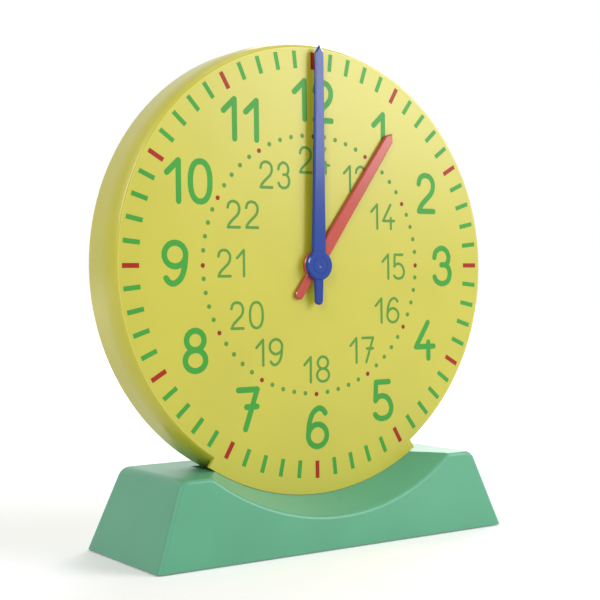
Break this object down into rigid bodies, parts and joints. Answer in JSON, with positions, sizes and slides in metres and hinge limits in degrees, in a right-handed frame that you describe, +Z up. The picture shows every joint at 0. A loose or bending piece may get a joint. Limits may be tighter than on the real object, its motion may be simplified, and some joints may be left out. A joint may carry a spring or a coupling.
{
  "type": "geared teaching clock",
  "caption": "Free-standing classroom clock with a drum case in a moulded stand; a rear knob turns the minute hand and gears turn the hour hand at a twelfth of its speed.",
  "frame": {"origin": "on the surface the stand rests on, under the middle of the stand", "axes": "+Z up, the dial faces -Y, +X to the right of somebody reading the dial"},
  "size_m": [0.323, 0.108, 0.3612],
  "materials": {
    "green_plastic": "satin moulded plastic",
    "yellow_plastic": "satin moulded plastic",
    "blue_plastic": "semi-gloss moulded plastic",
    "red_plastic": "semi-gloss moulded plastic",
    "gear_plastic": "natural acetal",
    "black_rubber": "matte",
    "brass": "machined",
    "steel": "zinc plated"
  },
  "bodies": {
    "case_and_stand": {"stand_shell": "green_plastic", "stand_floor": "green_plastic", "stand_floor_screws": "steel", "rubber_feet": "black_rubber", "case_hold_screws": "steel", "case_hold_washers": "steel", "case_front": "yellow_plastic", "case_back": "yellow_plastic", "case_back_screws": "steel", "dial_bush": "brass", "back_bush": "brass", "bridge_plate": "steel", "bridge_bush": "brass", "bridge_screws": "steel", "relay_stud": "steel", "relay_washer": "gear_plastic", "friction_spring": "steel"},
    "minute_works": {"minute_arbor": "steel", "cannon_pinion": "gear_plastic", "arbor_clip": "steel", "minute_hand": "blue_plastic", "minute_hand_cap": "blue_plastic", "setting_knob": "blue_plastic", "knob_screw": "steel"},
    "relay_works": {"minute_wheel": "gear_plastic", "relay_pinion": "gear_plastic"},
    "hour_works": {"hour_wheel": "gear_plastic", "hour_hand": "red_plastic"}
  },
  "joints": [
    {"name": "minute_turn", "type": "hinge", "parent": "case_and_stand", "child": "minute_works", "pos_m": [0, 0, 0.1997], "axis": [0, 1, 0], "continuous": true},
    {"name": "relay_turn", "type": "hinge", "parent": "case_and_stand", "child": "relay_works", "pos_m": [0, 0, 0.1547], "axis": [0, 1, 0], "continuous": true},
    {"name": "hour_turn", "type": "hinge", "parent": "case_and_stand", "child": "hour_works", "pos_m": [0, 0, 0.1997], "axis": [0, 1, 0], "continuous": true}
  ],
  "couplings": [
    {"joint": "relay_turn", "follows": "minute_turn", "ratio": -0.33333},
    {"joint": "hour_turn", "follows": "minute_turn", "ratio": 0.083333}
  ]
}
